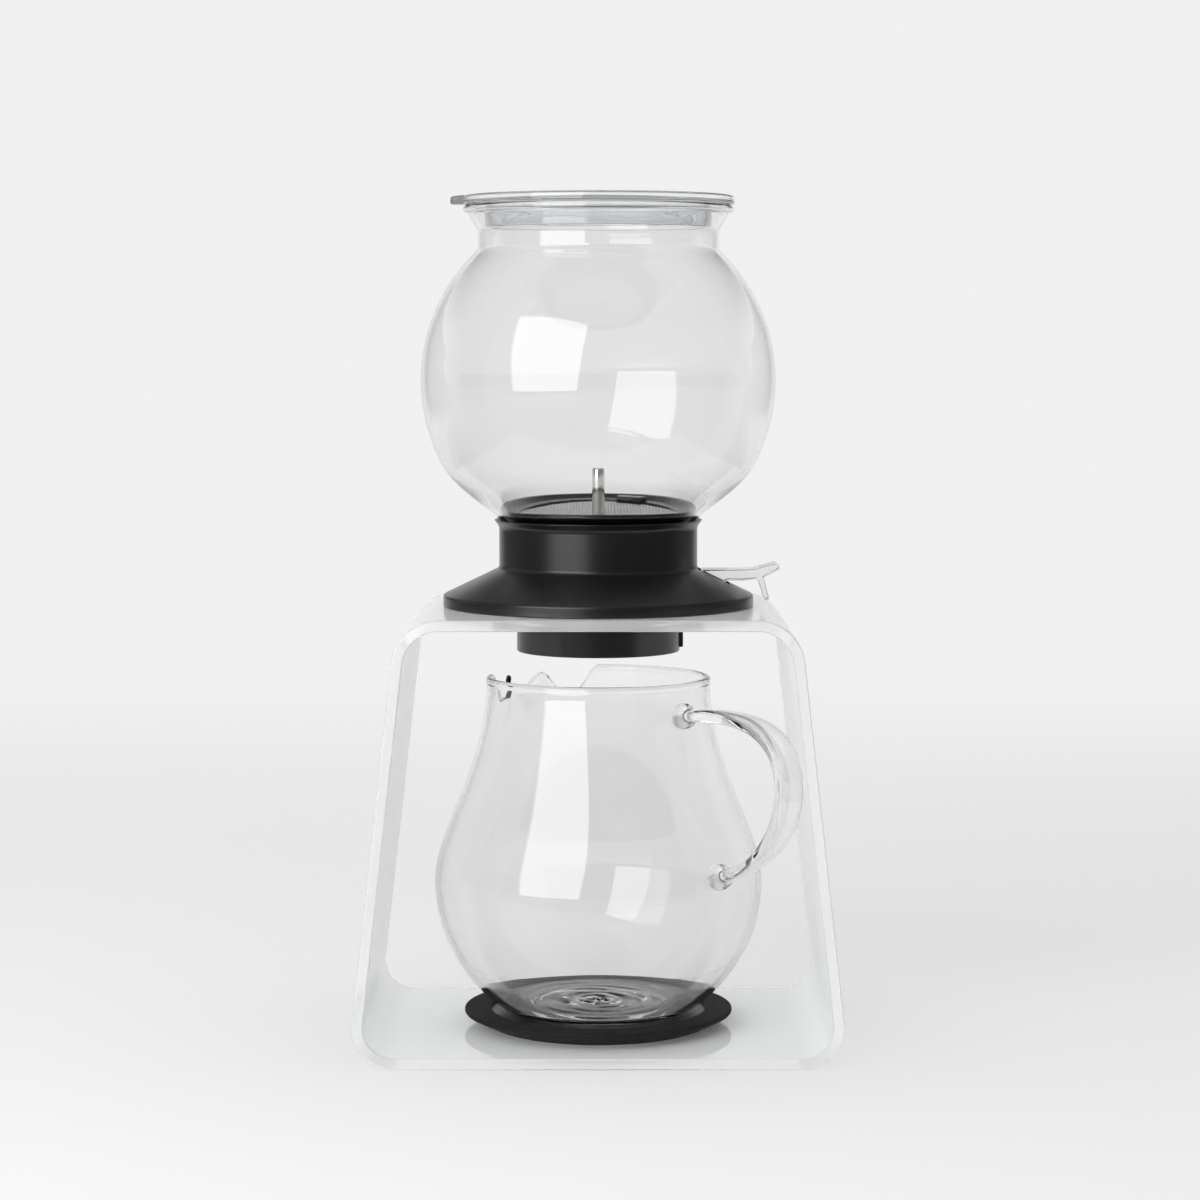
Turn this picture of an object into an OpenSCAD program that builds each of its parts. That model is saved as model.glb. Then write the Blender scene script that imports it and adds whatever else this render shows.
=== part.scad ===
// Steep-and-release tea dripper: a glass bowl on a black valve base, carried by
// a one-piece clear resin stand over a glass jug that sits on a silicone mat.
// Millimetres. Origin on the floor under the middle of the stand, +Z up,
// +X towards the lever, -Y towards the front.

/* [Stand] */
// Height of the stand's top plate above the floor
stand_h = 151.2; // [145:0.1:170]
// Width between the legs' outer faces, carried down to the floor
stand_w = 168.6; // [160:0.1:200]
// Front to back depth of the stand
stand_depth = 118; // [112:1:140]
// Thickness of the bent resin sheet
sheet_t = 3.8; // [3:0.1:5]
// Inward lean of each leg, degrees
leg_lean = 6.5; // [3:0.1:7]
// Outer radius of the two upper bends
top_bend_r = 16; // [10:0.5:20]
// Outer radius of the two lower bends
foot_bend_r = 14.5; // [10:0.5:20]
// Radius of the round hole in the upper and in the lower plate
hole_r = 36.8; // [36:0.1:38]

/* [Mat] */
// Radius of the mat's flange
mat_r = 47; // [44:0.5:52]
// Height of the mat
mat_h = 5.7; // [4.5:0.1:7]
// Thickness of the flange
mat_flange_t = 1.6; // [1.2:0.1:2.5]
// Radius of the recess that takes the jug
mat_recess_r = 37.7; // [34:0.1:38]
// Depth of the recess
mat_recess_depth = 1.3; // [0.8:0.1:2]

/* [Jug] */
// Height of the jug
jug_h = 118.3; // [114:0.1:120]
// Greatest radius of the belly
jug_belly_r = 57.4; // [54:0.1:60]
// Height of the belly's widest ring above the jug's base
jug_belly_h = 46.5; // [42:0.1:52]
// Radius of the mouth
jug_mouth_r = 39; // [36:0.1:41]
// Radius of the flat base
jug_base_r = 24; // [20:0.1:28]
// Radius of the heel, where the base turns up into the side
jug_heel_r = 35.2; // [33:0.1:36.5]
// Height of the heel above the flat base
jug_heel_h = 2.6; // [2:0.1:4]
// Thickness of the jug's wall
jug_wall = 2; // [1.5:0.1:2.5]
// Thickness of the jug's base
jug_base_t = 3.4; // [2.5:0.1:5]
// How far the pouring lip stands out from the mouth
spout_out = 7.5; // [4:0.1:9]

/* [Jug handle] */
// Turn of the handle from the lever's side towards the front, degrees
handle_turn = 45; // [40:1:50]
// Reach of the handle's outer face from the jug's axis
handle_reach = 91.4; // [86:0.1:92]
// Width of the handle's strap
strap_w = 12.2; // [9:0.1:12.5]
// Thickness of the strap
strap_t = 4.4; // [3.5:0.1:5]
// Height of the upper weld above the jug's base
upper_weld_h = 107.2; // [102:0.1:110]
// Height of the lower weld above the jug's base
lower_weld_h = 53.6; // [50:0.1:58]

/* [Base] */
// Radius of the skirt
skirt_r = 54; // [51:0.1:57]
// Height of the skirt's upright edge
skirt_edge_h = 4; // [3.4:0.1:4.6]
// Radius of the collar
collar_r = 34.5; // [34.5:0.1:36]
// Height of the collar's foot above the stand
collar_foot_h = 13.4; // [13:0.1:15]
// Height of the whole base above the stand
base_h = 30.2; // [29.5:0.1:32]
// How far the collar's lip flares out
lip_flare = 1.8; // [1:0.1:2.5]
// Wall of the base's mouldings
base_wall = 2.2; // [1.8:0.1:2.6]

/* [Outlet] */
// Radius of the outlet tube
outlet_r = 28.4; // [27:0.1:29]
// How far the outlet tube hangs below the top of the stand
outlet_drop = 15.7; // [12:0.1:16.5]
// Wall of the outlet tube
outlet_wall = 1.9; // [1.5:0.1:2.2]
// How far the key rib stands out from the tube
key_out = 1.2; // [0.8:0.1:1.5]
// Width of the key rib
key_w = 4; // [3:0.1:6]

/* [Bowl] */
// Outer radius of the glass bowl
bowl_r = 61.6; // [59:0.1:63]
// Thickness of the bowl's wall
bowl_wall = 1.9; // [1.6:0.1:2.2]
// Height of the globe's lowest point above the collar's lip, were it a whole ball
bowl_rise = -13.5; // [-15:0.1:-12]
// Outer radius of the lower neck
lower_neck_r = 30.5; // [29.5:0.1:31]
// Outer radius of the upper neck
upper_neck_r = 41.6; // [40:0.1:43]
// Outer radius of the rim
rim_r = 46.8; // [45.5:0.1:48]
// Height of the rim above the foot of the upper neck
rim_rise = 14.4; // [13:0.1:16]

/* [Lid] */
// Radius of the lid's flange
lid_r = 47.2; // [46.5:0.1:49]
// Thickness of the flange
lid_t = 3.2; // [2.5:0.1:4]
// How far the thumb tab stands out from the flange
lid_tab = 3.9; // [3:0.1:6]
// Width of the thumb tab
lid_tab_w = 16; // [12:0.5:20]
// Depth of the plug ring below the flange
plug_depth = 7.4; // [6:0.1:9]
// Wall of the plug ring
plug_wall = 1.8; // [1.4:0.1:2.4]

/* [Strainer] */
// Radius of the strainer's dish
dish_r = 34.3; // [33:0.1:35]
// Height of the dish's rim above the collar's lip
dish_rise = 4.3; // [3.5:0.1:6]
// Depth of the mesh below the dish's rim
mesh_depth = 1.6; // [1.4:0.1:3]
// Radius of the mesh
mesh_r = 28.4; // [27.6:0.1:29]
// Thickness of the mesh
mesh_t = 0.4; // [0.3:0.05:0.6]
// Radius of the lifting pin
pin_r = 2.2; // [1.8:0.1:2.6]
// Height of the pin above the mesh
pin_h = 14.4; // [12:0.1:16]

/* [Valve] */
// Radius of the drain hole
drain_r = 7; // [6:0.1:7.5]
// Radius of the valve's plug
plug_r = 9; // [8.6:0.1:9.6]
// Thickness of the valve's plug
plug_t = 3.2; // [2.5:0.1:4]
// Radius of the valve's stem
stem_r = 1.5; // [1.3:0.05:1.7]
// Radius of the washer that the lever lifts
washer_r = 6.4; // [6:0.1:7]
// Thickness of the spring's wire
spring_wire = 0.6; // [0.5:0.05:0.7]
// Number of turns in the spring
spring_turns = 5; // [4:1:6]

/* [Lever] */
// Width of the lever
lever_w = 12; // [11:0.1:13]
// Reach of the lever's tip from the axis
lever_reach = 63.3; // [61:0.1:66]
// Distance of the lever's pivot from the axis
pivot_x = 33; // [32:0.1:33.5]
// Height of the pivot above the stand
pivot_h = 7.3; // [7:0.1:7.6]
// Radius of the pivot pin
pivot_r = 1.25; // [1:0.05:1.4]
// Height of the gap below the lever's foot, which is its travel
foot_gap = 2.1; // [1.6:0.1:2.6]

/* [Fits] */
// Gap where one loose piece rests on another
rest_gap = 0.05; // [0.02:0.01:0.1]
// Radial gap of a running fit
run_gap = 0.06; // [0.03:0.01:0.1]
// Radial gap of a loose, hand-assembled fit
loose_gap = 0.25; // [0.15:0.05:0.35]
// Radial gap between a locating ring and its hole in the stand
hole_gap = 0.5; // [0.3:0.1:0.8]

/* [Hidden] */
$fn = 96;
STEPS = 12;

// Curve helpers: points along a cubic curve, and points along an arc.
function cubic_at(a, b, c, d, t) = let (s = 1 - t)
    s * s * s * a + 3 * s * s * t * b + 3 * s * t * t * c + t * t * t * d;
function cubic(a, b, c, d, n = STEPS) = [for (i = [0:n]) cubic_at(a, b, c, d, i / n)];
function arc(c, r, from, to, n = STEPS) = [
    for (i = [0:n]) let (t = from + (to - from) * i / n)
        c + r * [cos(t), sin(t)]
];
function tail(points) = [for (i = [1:len(points) - 1]) points[i]];
function reversed(points) = [for (i = [len(points) - 1:-1:0]) points[i]];

module ring(r_out, r_in, z, h) {
    translate([0, 0, z]) difference() {
        cylinder(r = r_out, h = h);
        translate([0, 0, -1]) cylinder(r = r_in, h = h + 2);
    }
}

// ---- Stand: one resin sheet bent into a closed loop ------------------------
locate_r = hole_r - hole_gap;       // radius of what drops into either hole
locate_depth = sheet_t - 0.5;       // how far it drops
function leg_x(z) = stand_w / 2 - z * tan(leg_lean);
function bend_centre(z, r) = [leg_x(z) - r / cos(leg_lean), z];
foot_bend = bend_centre(foot_bend_r, foot_bend_r);
top_bend = bend_centre(stand_h - top_bend_r, top_bend_r);

module loop_outline(inset) {
    right = concat(
        arc(foot_bend, foot_bend_r - inset, -90, leg_lean),
        arc(top_bend, top_bend_r - inset, leg_lean, 90)
    );
    polygon(concat(right, [for (p = reversed(right)) [-p[0], p[1]]]));
}

module stand_frame() {
    color([0.93, 0.94, 0.95, 0.4]) difference() {
        translate([0, stand_depth / 2, 0]) rotate([90, 0, 0])
            linear_extrude(stand_depth) difference() {
                loop_outline(0);
                loop_outline(sheet_t);
            }
        translate([0, 0, -1]) cylinder(r = hole_r, h = stand_h + 2);
    }
}

// ---- Mat: a silicone saucer with a plug that drops into the lower plate -----
mat_z = sheet_t + rest_gap;
mat_edge = 0.5;
flange_z = mat_h - mat_flange_t;
recess_z = mat_h - mat_recess_depth;
mat_foot_r = hole_r + 1.5;

module jug_mat() {
    color([0.06, 0.06, 0.06]) translate([0, 0, mat_z]) rotate_extrude() polygon([
        [0, -locate_depth], [locate_r, -locate_depth], [locate_r, 0], [mat_foot_r, 0],
        [mat_r - mat_edge, flange_z], [mat_r, flange_z + mat_edge],
        [mat_r, mat_h - mat_edge], [mat_r - mat_edge, mat_h],
        [mat_recess_r + mat_edge, mat_h], [mat_recess_r, mat_h - mat_edge],
        [mat_recess_r, recess_z], [0, recess_z]
    ]);
}

// ---- Jug: a blown glass pear with a pulled lip and a welded handle ----------
jug_z = mat_z + recess_z + rest_gap;
belly_drop = 26;     // reach of the curve below the belly
belly_rise = 17.6;   // and above it
mouth_pull = 31.4;   // reach of the curve below the mouth
mouth_straight = 3;  // height of the straight mouth
lip_r = jug_wall / 2;

// The side from base to mouth, drawn in from the outside by the wall.
function jug_side(inset, foot) = let (
    belly = [jug_belly_r - inset, jug_belly_h],
    mouth = [jug_mouth_r - inset, jug_h - mouth_straight]
) concat(
    cubic(foot, foot + [4.5, 3.2], belly - [0, belly_drop], belly),
    tail(cubic(belly, belly + [0, belly_rise], mouth - [0, mouth_pull], mouth)),
    [[jug_mouth_r - inset, jug_h - lip_r]]
);
jug_foot_out = [jug_heel_r, jug_heel_h];
jug_foot_in = [jug_heel_r - jug_wall, max(jug_heel_h, jug_base_t) + 1];
jug_outside = jug_side(0, jug_foot_out);
jug_inside = jug_side(jug_wall, jug_foot_in);

module jug_hollow() {
    rotate_extrude() polygon(concat(
        [[0, jug_base_t]], jug_inside, [[jug_mouth_r - jug_wall, jug_h + 1], [0, jug_h + 1]]
    ));
}

// The pulled lip: a trough from the throat to the spout's tip.
spout_tip_r = 5;
spout_throat_r = 14;
spout_depth = 15;
module spout_form(inset, over) {
    throat = jug_mouth_r - spout_throat_r;
    hull() {
        translate([jug_mouth_r + spout_out - spout_tip_r, 0, jug_h - 1.5])
            cylinder(r = spout_tip_r - inset, h = 1.5 + over, $fn = 32);
        translate([throat, 0, jug_h - 1.5])
            cylinder(r = spout_throat_r - inset, h = 1.5 + over, $fn = 32);
        translate([throat + 3, 0, jug_h - spout_depth])
            cylinder(r = spout_throat_r / 2, h = 1, $fn = 32);
    }
}

module jug_body() {
    color([0.9, 0.95, 0.95, 0.3]) translate([0, 0, jug_z])
        rotate([0, 0, 180 - handle_turn]) {
            difference() {
                rotate_extrude() polygon(concat(
                    [[0, 0], [jug_base_r, 0]], jug_outside,
                    arc([jug_mouth_r - lip_r, jug_h - lip_r], lip_r, 0, 180, 6),
                    reversed(jug_inside), [[0, jug_base_t]]
                ));
                spout_form(jug_wall, 1);
            }
            difference() {
                spout_form(0, 0);
                spout_form(jug_wall, 1);
                jug_hollow();
            }
        }
}

// The handle: a flat glass strap bowed between two ball welds. Its section is
// round at a weld, slim beside it and broadest at the bow, and each end lies on
// the jug's outer face.
weld_r = 4.2;
weld_out = 1.4;      // how far the ball's centre stands out from the glass
weld_gap = 0.1;
strap_neck_w = 4.8;
strap_widen = 30;    // distance from a weld at which the strap is at its full width
bow_steps = 14;
bow_sides = 12;
bow_crowd = 1.7;     // how much closer the rings stand near the welds
bow_r = handle_reach - strap_t / 2;
bow_z = (upper_weld_h + lower_weld_h) / 2 + 6.6;

function jug_r(z) = lookup(z, [for (p = jug_outside) [p[1], p[0]]]);
upper_weld = [jug_r(upper_weld_h), upper_weld_h];
lower_weld = [jug_r(lower_weld_h), lower_weld_h];
bow = concat(
    [for (i = [0:bow_steps]) cubic_at(
        upper_weld, upper_weld + [26, 4], [bow_r, upper_weld_h + 1.8], [bow_r, bow_z],
        pow(i / bow_steps, bow_crowd))],
    [for (i = [1:bow_steps]) cubic_at(
        [bow_r, bow_z], [bow_r, bow_z - 17.5], lower_weld + [18.5, 4.5], lower_weld,
        1 - pow(1 - i / bow_steps, bow_crowd))]
);
bow_last = len(bow) - 1;
function bow_normal(i) = let (
    d = bow[min(i + 1, bow_last)] - bow[max(i - 1, 0)]
) [-d[1], d[0]] / norm(d);
function on_glass(y, z) = [sqrt(pow(jug_r(z) + weld_gap, 2) - y * y), y, z];
function swell(v, power) = sign(v) * pow(abs(v), power);

function strap_ring(i) = let (
    s = min(norm(bow[i] - bow[0]), norm(bow[i] - bow[bow_last])),
    ball = sqrt(max(0, pow(weld_r, 2) - pow(s - weld_out, 2))),
    broad = strap_neck_w + (strap_w - strap_neck_w) * min(1, s / strap_widen),
    half_w = max(ball, broad / 2),
    half_t = max(ball, strap_t / 2),
    power = ball > strap_t / 2 ? 1 : 0.6
) [
    for (k = [0:bow_sides - 1]) let (
        turn = 360 * k / bow_sides,
        y = half_w * swell(cos(turn), power),
        p = bow[i] + half_t * swell(sin(turn), power) * bow_normal(i)
    ) i == 0 || i == bow_last ? on_glass(y, p[1]) : [p[0], y, p[1]]
];

module jug_handle() {
    n = bow_sides;
    points = concat(
        [for (i = [0:bow_last]) each strap_ring(i)],
        [on_glass(0, upper_weld_h), on_glass(0, lower_weld_h)]
    );
    top_hub = (bow_last + 1) * n;
    skin = [
        for (i = [0:bow_last - 1], k = [0:n - 1]) let (m = (k + 1) % n)
            [i * n + k, (i + 1) * n + k, (i + 1) * n + m, i * n + m]
    ];
    ends = [
        for (k = [0:n - 1]) let (m = (k + 1) % n)
            each [[top_hub, k, m], [top_hub + 1, bow_last * n + m, bow_last * n + k]]
    ];
    color([0.9, 0.95, 0.95, 0.3]) translate([0, 0, jug_z]) rotate([0, 0, -handle_turn])
        polyhedron(points = points, faces = concat(skin, ends), convexity = 4);
}

// ---- Base housing: collar and skirt in one moulding -------------------------
base_z = stand_h + rest_gap;
skirt_round = 0.6;
lip_z = base_h - 2.4;         // where the lip starts to flare
lip_t = 0.7;                  // thickness of the lip's edge
lip_cone = 5;                 // height of the cone inside the lip
bore_r = collar_r - base_wall;
ledge_z = collar_foot_h + 1;  // top of the ledge that carries the funnel
ledge_in = bore_r - 2;
roof_z = collar_foot_h - base_wall * 1.14;
skirt_in = skirt_r - base_wall;
slot_half = lever_w / 2 + 0.4;
slot_in = pivot_x - 0.5;
slot_out = pivot_x + 12.8;
ear_t = 2.2;
ear_r = 3.2;
screw_ring_r = skirt_r - 10;
screw_r = 1.1;
boss_r = 2.8;
cover_t = 1.8;
cover_z = 0.6;
press_gap = 0.02;

housing_outside = [
    [skirt_r, 0], [skirt_r, skirt_edge_h - skirt_round],
    [skirt_r - skirt_round, skirt_edge_h], [collar_r, collar_foot_h],
    [collar_r, lip_z], [collar_r + lip_flare, base_h]
];
module at_screws() {
    for (turn = [90, 210, 330]) rotate([0, 0, turn]) translate([screw_ring_r, 0, 0]) children();
}

module base_housing() {
    color([0.07, 0.07, 0.07]) translate([0, 0, base_z]) {
        difference() {
            rotate_extrude() polygon(concat(housing_outside, [
                [collar_r + lip_flare - lip_t, base_h], [bore_r, base_h - lip_cone],
                [bore_r, ledge_z], [ledge_in, ledge_z], [ledge_in, roof_z],
                [collar_r, roof_z], [skirt_in, skirt_edge_h - base_wall / 2], [skirt_in, 0]
            ]));
            translate([slot_in, -slot_half, cover_z])
                cube([slot_out - slot_in, 2 * slot_half, collar_foot_h - cover_z - 0.1]);
        }
        intersection() {
            rotate_extrude() polygon(concat(housing_outside, [[0, base_h], [0, 0]]));
            difference() {
                union() {
                    for (side = [-1, 1])
                        translate([pivot_x - ear_r, side > 0 ? slot_half : -slot_half - ear_t,
                                   pivot_h - ear_r])
                            cube([2 * ear_r, ear_t, roof_z + 1 - pivot_h + ear_r]);
                    at_screws() translate([0, 0, cover_z + cover_t])
                        cylinder(r = boss_r, h = collar_foot_h);
                }
                translate([pivot_x, 0, pivot_h]) rotate([90, 0, 0])
                    cylinder(r = pivot_r + press_gap, h = 4 * slot_half, center = true);
                at_screws() translate([0, 0, cover_z])
                    cylinder(r = screw_r + press_gap, h = cover_t + 3.2);
            }
        }
    }
}

// ---- Cover, screws and outlet tube under the base ---------------------------
flange_t = 1.4;
flange_out = 2.6;
outlet_h = outlet_drop + rest_gap + cover_z + cover_t + flange_t;
head_r = 2.2;
head_t = 0.9;

module base_cover() {
    color([0.08, 0.08, 0.08]) translate([0, 0, base_z + cover_z]) difference() {
        union() {
            cylinder(r = skirt_in - loose_gap, h = cover_t);
            ring(locate_r, locate_r - base_wall, -cover_z - locate_depth, cover_z + locate_depth);
        }
        translate([0, 0, -1]) cylinder(r = outlet_r + press_gap, h = cover_t + 2);
        at_screws() {
            translate([0, 0, -1]) cylinder(r = screw_r + loose_gap, h = cover_t + 2);
            translate([0, 0, -1]) cylinder(r = head_r + loose_gap, h = head_t + 1);
        }
    }
}

module cover_screws() {
    color([0.6, 0.6, 0.6]) translate([0, 0, base_z + cover_z]) at_screws() difference() {
        union() {
            cylinder(r = head_r, h = head_t);
            cylinder(r = screw_r, h = cover_t + 3);
        }
        for (turn = [0, 90]) rotate([0, 0, turn]) translate([-1.2, -0.25, -0.1])
            cube([2.4, 0.5, 0.6]);
    }
}

module outlet_tube() {
    key_short = 1.3; // how far the key stops above the tube's end
    color([0.06, 0.06, 0.06]) translate([0, 0, stand_h - outlet_drop]) {
        difference() {
            union() {
                cylinder(r = outlet_r, h = outlet_h);
                translate([0, 0, outlet_h - flange_t])
                    cylinder(r = outlet_r + flange_out, h = flange_t);
                translate([outlet_r - outlet_wall / 2, -key_w / 2, key_short])
                    cube([key_out + outlet_wall / 2, key_w, outlet_drop - key_short + rest_gap]);
            }
            translate([0, 0, -1]) cylinder(r = outlet_r - outlet_wall, h = outlet_h + 2);
        }
    }
}

// ---- Funnel: closes the bottom of the bowl and guides the valve -------------
funnel_z = base_z + ledge_z;
funnel_t = 2;
seat_ring_h = 6.3;              // height of the ring that the strainer stands on
seat_ring_r = lower_neck_r - bowl_wall - loose_gap - 0.3;
seat_in = drain_r + 3.2;
shelf_z = -2.6;
drain_z = shelf_z - 3;
hub_r = stem_r + 1.7;
rib_t = 1.6;

module funnel() {
    color([0.09, 0.09, 0.09]) translate([0, 0, funnel_z]) {
        rotate_extrude() polygon([
            [bore_r - loose_gap, 0], [bore_r - loose_gap, funnel_t],
            [seat_ring_r, funnel_t], [seat_ring_r, seat_ring_h],
            [seat_ring_r - funnel_t, seat_ring_h], [seat_ring_r - funnel_t, funnel_t],
            [seat_in, shelf_z + 1], [seat_in, shelf_z], [drain_r, shelf_z],
            [drain_r, drain_z], [drain_r + funnel_t, drain_z],
            [drain_r + funnel_t, shelf_z - funnel_t / 2], [ledge_in - 1, 0]
        ]);
        difference() {
            union() {
                translate([0, 0, drain_z]) cylinder(r = hub_r, h = 3);
                for (turn = [60, 180, 300]) rotate([0, 0, turn])
                    translate([0, -rib_t / 2, drain_z + 0.3])
                        cube([drain_r + funnel_t / 2, rib_t, 2]);
            }
            translate([0, 0, drain_z - 1]) cylinder(r = stem_r + run_gap, h = 5);
        }
    }
}

// ---- Bowl gasket: a silicone collar with a lip under the glass --------------
gasket_z = funnel_z + funnel_t;
gasket_lip = 1.2;
neck_foot_z = gasket_z + gasket_lip + rest_gap;
gasket_h = 6.4;

module bowl_gasket() {
    inside = lower_neck_r + run_gap;
    color([0.12, 0.12, 0.12]) translate([0, 0, gasket_z]) rotate_extrude() polygon([
        [seat_ring_r + 0.1, 0], [bore_r - press_gap, 0], [bore_r - press_gap, gasket_h - 0.4],
        [bore_r - 0.4, gasket_h], [inside + 0.3, gasket_h], [inside, gasket_h - 0.5],
        [inside, gasket_lip], [seat_ring_r + 0.1, gasket_lip]
    ]);
}

// ---- Valve: a silicone plug on a steel stem, closed by a spring -------------
seat_t = 1.4;
valve_seat_z = funnel_z + shelf_z;
plug_z = valve_seat_z + seat_t + rest_gap;
prong_h = 1.3;                      // top of the lever's prongs above the stand
washer_z = stand_h + prong_h + 0.15;
washer_t = 1.2;
clip_t = 0.7;
groove_r = stem_r - 0.35;
stem_foot_z = washer_z - clip_t - 1;
stem_head_r = stem_r + 1.3;
stem_head_t = 0.9;

module valve_seat() {
    color([0.75, 0.75, 0.73]) ring(seat_in - 0.05, drain_r, valve_seat_z, seat_t);
}

module valve_plug() {
    color([0.75, 0.75, 0.73]) translate([0, 0, plug_z]) rotate_extrude() polygon([
        [stem_r + press_gap, 0], [plug_r - 0.4, 0], [plug_r, 0.5],
        [plug_r, plug_t / 2], [plug_r / 2, plug_t], [stem_r + press_gap, plug_t]
    ]);
}

module valve_stem() {
    head_z = plug_z + plug_t;
    color([0.7, 0.7, 0.7]) rotate_extrude() polygon([
        [0, stem_foot_z], [stem_r - 0.3, stem_foot_z], [stem_r, stem_foot_z + 0.3],
        [stem_r, washer_z - clip_t], [groove_r, washer_z - clip_t], [groove_r, washer_z],
        [stem_r, washer_z], [stem_r, head_z], [stem_head_r, head_z],
        [stem_head_r, head_z + stem_head_t - 0.3], [stem_head_r - 0.3, head_z + stem_head_t],
        [0, head_z + stem_head_t]
    ]);
}

module stem_washer() {
    color([0.7, 0.7, 0.7]) ring(washer_r, stem_r + press_gap, washer_z, washer_t);
}

module stem_clip() {
    color([0.6, 0.6, 0.6]) difference() {
        ring(stem_r + 1.4, groove_r + press_gap, washer_z - clip_t + 0.02, clip_t - 0.04);
        translate([0, -0.6, washer_z - clip_t - 1]) cube([stem_r + 3, 1.2, clip_t + 2]);
    }
}

// The return spring, a round wire carried along a helix.
spring_r = stem_r + run_gap + spring_wire + 0.3;
spring_lo = washer_z + washer_t + spring_wire / 2 + 0.02;
spring_hi = funnel_z + drain_z - spring_wire / 2 - 0.02;
module valve_spring() {
    sides = 6;
    rings = spring_turns * 16;
    function coil(i, k) = let (
        turn = 360 * spring_turns * i / rings,
        around = 360 * k / sides,
        r = spring_r + spring_wire / 2 * cos(around),
        z = spring_lo + (spring_hi - spring_lo) * i / rings + spring_wire / 2 * sin(around)
    ) [r * cos(turn), r * sin(turn), z];
    points = [for (i = [0:rings], k = [0:sides - 1]) coil(i, k)];
    skin = [
        for (i = [0:rings - 1], k = [0:sides - 1]) let (n = (k + 1) % sides)
            [i * sides + k, i * sides + n, (i + 1) * sides + n, (i + 1) * sides + k]
    ];
    caps = [
        [for (k = [sides - 1:-1:0]) k],
        [for (k = [0:sides - 1]) rings * sides + k]
    ];
    color([0.7, 0.7, 0.7]) polyhedron(points = points, faces = concat(skin, caps), convexity = 6);
}

// ---- Lever: clear, with a fork under the valve and a foot over the stand ----
lever_top = 12.9;    // height of the thumb plate above the stand
tip_rise = 2.4;
arm_t = 2.4;
prong_end = -4;
fork_in = 5;
fork_half = 3.7;
foot_x = (skirt_r + lever_reach) / 2;   // midway between the skirt and the tip
arm_over = cover_z + cover_t + flange_t + rest_gap + 0.65;
crook_x = outlet_r - outlet_wall - 0.3;

module lever() {
    shape = [
        [prong_end, prong_h - arm_t], [8, prong_h - arm_t], [crook_x - 6, prong_h - 0.6],
        [crook_x, arm_over], [pivot_x + 2.8, arm_over], [pivot_x + 7, arm_over + 1.7],
        [slot_out - 0.8, lever_top - 3.7], [slot_out + 4.2, lever_top - 3.8],
        [foot_x - 3.5, lever_top - 3.2], [foot_x - 0.9, lever_top - 2.7],
        [lever_reach, lever_top + 0.2], [lever_reach - 1, lever_top + tip_rise],
        [lever_reach - 5.7, lever_top + 1.2], [lever_reach - 8.8, lever_top + 0.3],
        [lever_reach - 12.7, lever_top], [pivot_x + 3.4, lever_top],
        [pivot_x + 1.2, pivot_h + 3.5], [pivot_x - 2, pivot_h + 2.4],
        [crook_x - 1, pivot_h - 0.3], [18, prong_h + 2.1], [8, prong_h], [prong_end, prong_h]
    ];
    foot = [
        [foot_x - 3.3, lever_top - 3.2], [foot_x - 0.8, foot_gap],
        [foot_x + 0.9, foot_gap + 0.3], [foot_x - 1.5, lever_top - 2.6]
    ];
    color([0.9, 0.92, 0.92, 0.5]) translate([0, 0, stand_h]) difference() {
        rotate([90, 0, 0]) linear_extrude(lever_w, center = true) union() {
            polygon(shape);
            polygon(foot);
        }
        translate([pivot_x, 0, pivot_h + rest_gap]) rotate([90, 0, 0])
            cylinder(r = pivot_r + run_gap, h = 2 * lever_w, center = true);
        translate([prong_end - 1, -fork_half, prong_h - 2 * arm_t])
            cube([fork_in - prong_end + 1, 2 * fork_half, 4 * arm_t]);
    }
}

module lever_pin() {
    color([0.7, 0.7, 0.7]) translate([pivot_x, 0, base_z + pivot_h]) rotate([90, 0, 0])
        cylinder(r = pivot_r, h = 2 * (slot_half + ear_t) - 0.6, center = true);
}

// ---- Bowl: blown glass, open at both ends ----------------------------------
bowl_z = base_z + base_h + bowl_rise + bowl_r;
low_turn = -28;      // where the globe starts to draw in, degrees
shoulder = 1.96;     // how far the globe stands out from the upper neck where they meet
high_turn = acos((upper_neck_r + shoulder) / bowl_r);
neck_straight = 5.6; // the lower neck is straight past the gasket
neck_drop = 6.95;    // and up into the collar, to this depth below its lip
neck_top_z = max(neck_foot_z + neck_straight, base_z + base_h - neck_drop) - bowl_z;
upper_neck_z = bowl_r * sin(high_turn) + 2.44;
rim_z = upper_neck_z + rim_rise;
flare_z = upper_neck_z + 4.4;
bead_r = 1.4;

// The side from foot to rim, about the globe's centre.
function bowl_side(inset) = let (
    r = bowl_r - inset,
    low = r * [cos(low_turn), sin(low_turn)],
    high = r * [cos(high_turn), sin(high_turn)],
    neck = upper_neck_r - inset,
    flare = [rim_r - 1.9 - inset, rim_z - 2.6]
) concat(
    [[lower_neck_r - inset, neck_foot_z - bowl_z]],
    cubic([lower_neck_r - inset, neck_top_z], [lower_neck_r - inset, neck_top_z + 8.5],
          low + 14 * [sin(low_turn), -cos(low_turn)], low, 8),
    tail(arc([0, 0], r, low_turn, high_turn)),
    tail(cubic(high, high + 3 * [-sin(high_turn), cos(high_turn)],
               [neck, upper_neck_z], [neck, upper_neck_z + 2], 4)),
    [[neck, flare_z]],
    tail(cubic([neck, flare_z], [neck, flare_z + 3], flare - [0.6, 3], flare, 4))
);

module bowl() {
    bead = [rim_r - bead_r, rim_z - bead_r];
    color([0.9, 0.95, 0.95, 0.3]) translate([0, 0, bowl_z]) rotate_extrude() polygon(concat(
        bowl_side(0), arc(bead, bead_r, -40, 190, 6), reversed(bowl_side(bowl_wall))
    ));
}

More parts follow.
